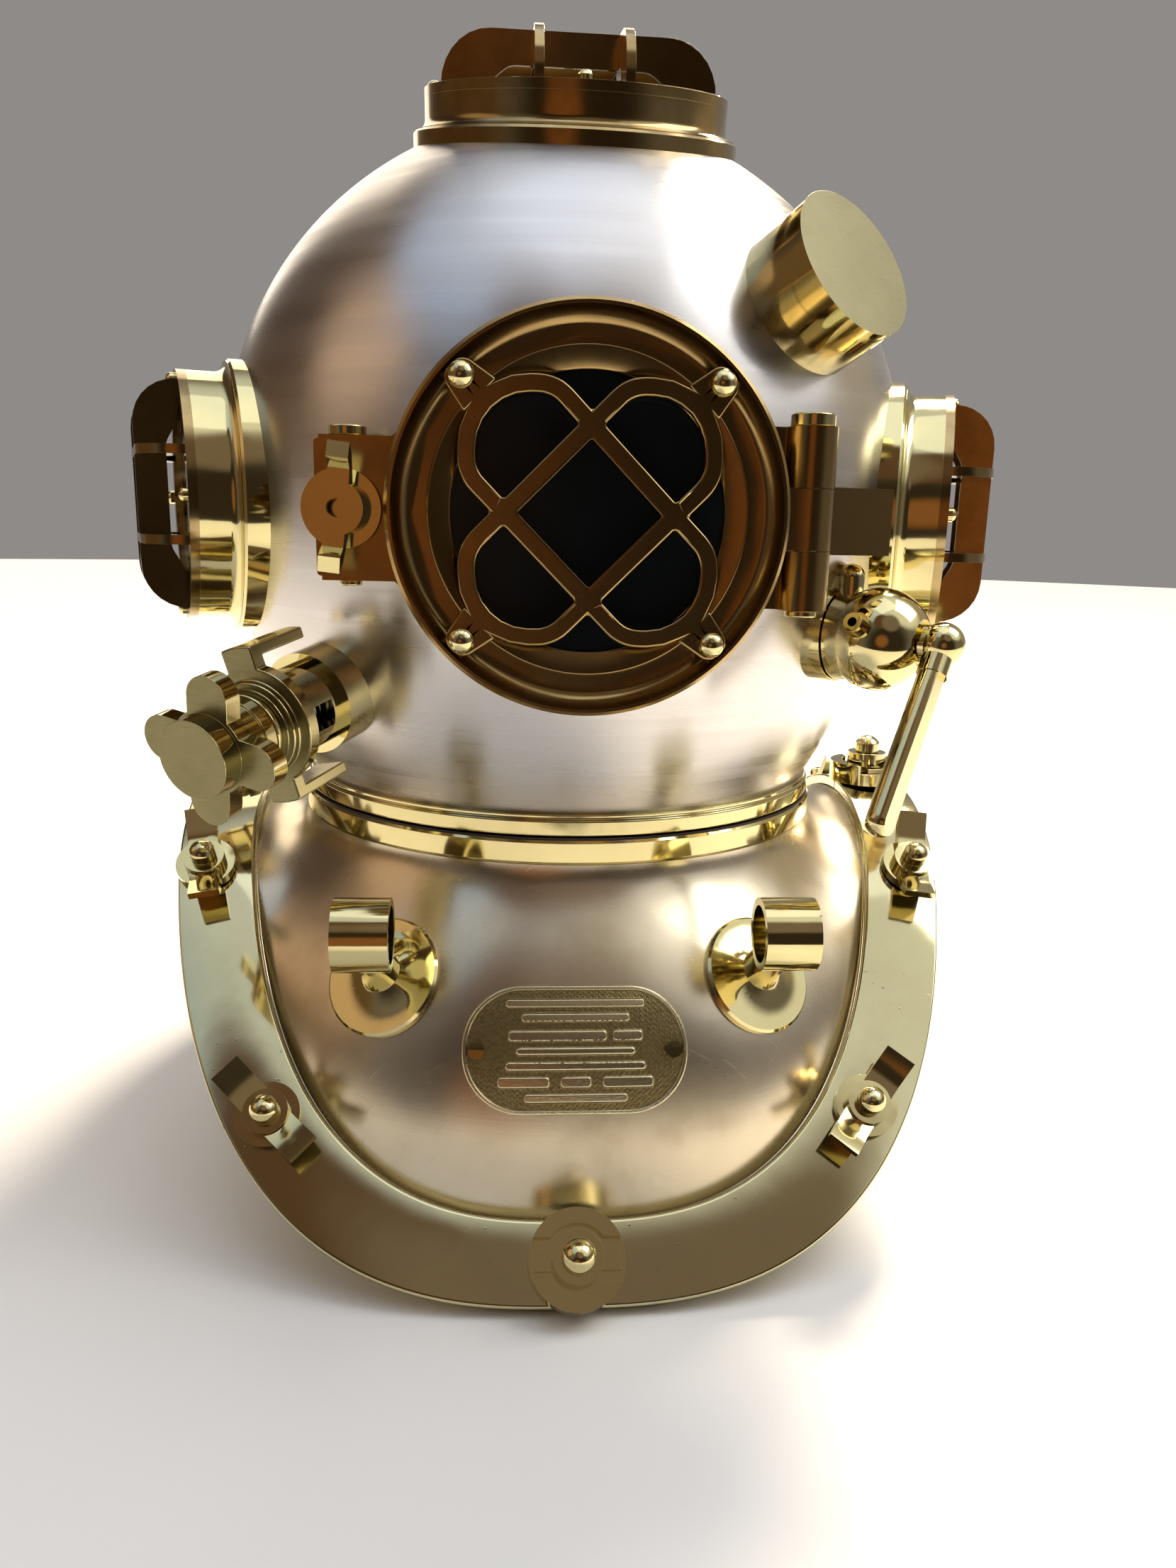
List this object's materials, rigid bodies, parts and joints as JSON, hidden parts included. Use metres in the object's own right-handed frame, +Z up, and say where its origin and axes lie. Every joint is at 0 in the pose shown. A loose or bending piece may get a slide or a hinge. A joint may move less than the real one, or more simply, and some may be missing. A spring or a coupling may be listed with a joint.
{
  "type": "diving helmet",
  "caption": "Deep-sea diving helmet: bonnet on a flanged breastplate, with hinged front door, guarded ports, exhaust valve and spitcock.",
  "frame": {"origin": "floor under the neck axis, at the centre of the two rest flats of the breastplate", "axes": "+Z up along the neck axis, -Y to the front door, +X to the viewer's right"},
  "size_m": [0.3816, 0.4142, 0.4844],
  "materials": {
    "brass": "polished",
    "tarnished_bronze": "polished, browned by tarnish",
    "tinned_copper": "tinned copper, soft polish",
    "plate_glass": "polished plate glass",
    "leather": "greased",
    "rubber": "matt",
    "spring_steel": "bright wire",
    "receiver_case": "ebonite"
  },
  "bodies": {
    "breastplate": {"breastplate_shell": "tinned_copper", "breastplate_flange": "brass", "neck_ring": "brass", "neck_gasket": "leather", "flange_studs": "brass", "brail_front_left": "brass", "brail_front_right": "brass", "brail_rear_left": "brass", "brail_rear_right": "brass", "lanyard_eye_left": "brass", "lanyard_eye_right": "brass", "name_plate": "brass", "plate_rivets": "brass"},
    "bonnet": {"bonnet_shell": "tinned_copper", "bonnet_ring": "brass", "door_frame": "brass", "hinge_and_latch_pins": "brass", "latch_stud": "brass", "side_port_left": "brass", "side_port_right": "brass", "top_port": "brass", "port_glasses": "plate_glass", "port_gaskets": "rubber", "port_screws": "brass", "guard_left": "brass", "guard_right": "brass", "guard_top": "brass", "receiver_cup": "brass", "receiver": "receiver_case", "exhaust_body": "brass", "exhaust_yoke": "brass", "exhaust_spring": "spring_steel", "spitcock_body": "brass", "air_elbow": "brass", "air_valve_body": "brass", "air_valve_spring": "spring_steel", "cable_elbow": "brass"},
    "door": {"door_ring": "tarnished_bronze", "door_glass": "plate_glass", "door_gasket": "rubber", "door_bezel": "tarnished_bronze", "door_guard": "tarnished_bronze", "door_screws": "brass"},
    "door_nut": {"door_wing_nut": "brass"},
    "exhaust_disc": {"exhaust_stem": "brass"},
    "exhaust_wheel": {"exhaust_handwheel": "brass"},
    "lever": {"spitcock_lever": "brass"},
    "air_disc": {"air_valve_disc": "brass"},
    "nut_shoulder_right": {"nut_shoulder_right": "brass"},
    "nut_front_right_2": {"nut_front_right_2": "brass"},
    "nut_front_right_1": {"nut_front_right_1": "brass"},
    "nut_front": {"nut_front": "brass"},
    "nut_front_left_1": {"nut_front_left_1": "brass"},
    "nut_front_left_2": {"nut_front_left_2": "brass"},
    "nut_shoulder_left": {"nut_shoulder_left": "brass"},
    "nut_rear_left_2": {"nut_rear_left_2": "brass"},
    "nut_rear_left_1": {"nut_rear_left_1": "brass"},
    "nut_rear": {"nut_rear": "brass"},
    "nut_rear_right_1": {"nut_rear_right_1": "brass"},
    "nut_rear_right_2": {"nut_rear_right_2": "brass"}
  },
  "joints": [
    {"name": "bonnet_turn", "type": "hinge", "parent": "breastplate", "child": "bonnet", "pos_m": [0, 0, 0.1615], "axis": [0, 0, 1], "range_deg": [0, 45]},
    {"name": "door_hinge", "type": "hinge", "parent": "bonnet", "child": "door", "pos_m": [0.0785, -0.1502, 0.2875], "axis": [0, 0, 1], "range_deg": [0, 130]},
    {"name": "door_wing_nut_turn", "type": "hinge", "parent": "door", "child": "door_nut", "pos_m": [-0.083, -0.165, 0.2875], "axis": [0, -1, 0], "continuous": true},
    {"name": "exhaust_stem_slide", "type": "slide", "parent": "bonnet", "child": "exhaust_disc", "axis": [-0.4623, -0.8695, -0.1736], "range_m": [0, 0.006], "stiffness_N_per_m": 400, "springref_m": -0.004, "deforming": ["exhaust_spring"]},
    {"name": "exhaust_wheel_turn", "type": "hinge", "parent": "bonnet", "child": "exhaust_wheel", "pos_m": [-0.12699, -0.16256, 0.20561], "axis": [-0.4623, -0.8695, -0.1736], "range_deg": [-180, 180]},
    {"name": "spitcock_lever_turn", "type": "hinge", "parent": "bonnet", "child": "lever", "pos_m": [0.13958, -0.14297, 0.2432], "axis": [0.7314, -0.682, 0], "range_deg": [0, 90]},
    {"name": "air_valve_lift", "type": "slide", "parent": "bonnet", "child": "air_disc", "axis": [0, 0, -1], "range_m": [-0.005, 0], "stiffness_N_per_m": 100, "springref_m": 0.003, "deforming": ["air_valve_spring"]},
    {"name": "nut_shoulder_right_turn", "type": "hinge", "parent": "breastplate", "child": "nut_shoulder_right", "pos_m": [0.158, 0, 0.164], "axis": [0, 0, 1], "continuous": true},
    {"name": "nut_front_right_2_turn", "type": "hinge", "parent": "breastplate", "child": "nut_front_right_2", "pos_m": [0.15715, -0.07634, 0.13798], "axis": [0, -0.6107, 0.7919], "continuous": true},
    {"name": "nut_front_right_1_turn", "type": "hinge", "parent": "breastplate", "child": "nut_front_right_1", "pos_m": [0.11853, -0.15264, 0.05974], "axis": [0, -0.7254, 0.6884], "continuous": true},
    {"name": "nut_front_turn", "type": "hinge", "parent": "breastplate", "child": "nut_front", "pos_m": [0, -0.19088, 0.01945], "axis": [0, -0.7254, 0.6884], "continuous": true},
    {"name": "nut_front_left_1_turn", "type": "hinge", "parent": "breastplate", "child": "nut_front_left_1", "pos_m": [-0.11853, -0.15264, 0.05974], "axis": [0, -0.7254, 0.6884], "continuous": true},
    {"name": "nut_front_left_2_turn", "type": "hinge", "parent": "breastplate", "child": "nut_front_left_2", "pos_m": [-0.15715, -0.07634, 0.13798], "axis": [0, -0.6107, 0.7919], "continuous": true},
    {"name": "nut_shoulder_left_turn", "type": "hinge", "parent": "breastplate", "child": "nut_shoulder_left", "pos_m": [-0.158, 0, 0.164], "axis": [0, 0, 1], "continuous": true},
    {"name": "nut_rear_left_2_turn", "type": "hinge", "parent": "breastplate", "child": "nut_rear_left_2", "pos_m": [-0.15715, 0.07634, 0.13798], "axis": [0, 0.6107, 0.7919], "continuous": true},
    {"name": "nut_rear_left_1_turn", "type": "hinge", "parent": "breastplate", "child": "nut_rear_left_1", "pos_m": [-0.11853, 0.15264, 0.05974], "axis": [0, 0.7254, 0.6884], "continuous": true},
    {"name": "nut_rear_turn", "type": "hinge", "parent": "breastplate", "child": "nut_rear", "pos_m": [0, 0.19088, 0.01945], "axis": [0, 0.7254, 0.6884], "continuous": true},
    {"name": "nut_rear_right_1_turn", "type": "hinge", "parent": "breastplate", "child": "nut_rear_right_1", "pos_m": [0.11853, 0.15264, 0.05974], "axis": [0, 0.7254, 0.6884], "continuous": true},
    {"name": "nut_rear_right_2_turn", "type": "hinge", "parent": "breastplate", "child": "nut_rear_right_2", "pos_m": [0.15715, 0.07634, 0.13798], "axis": [0, 0.6107, 0.7919], "continuous": true}
  ]
}
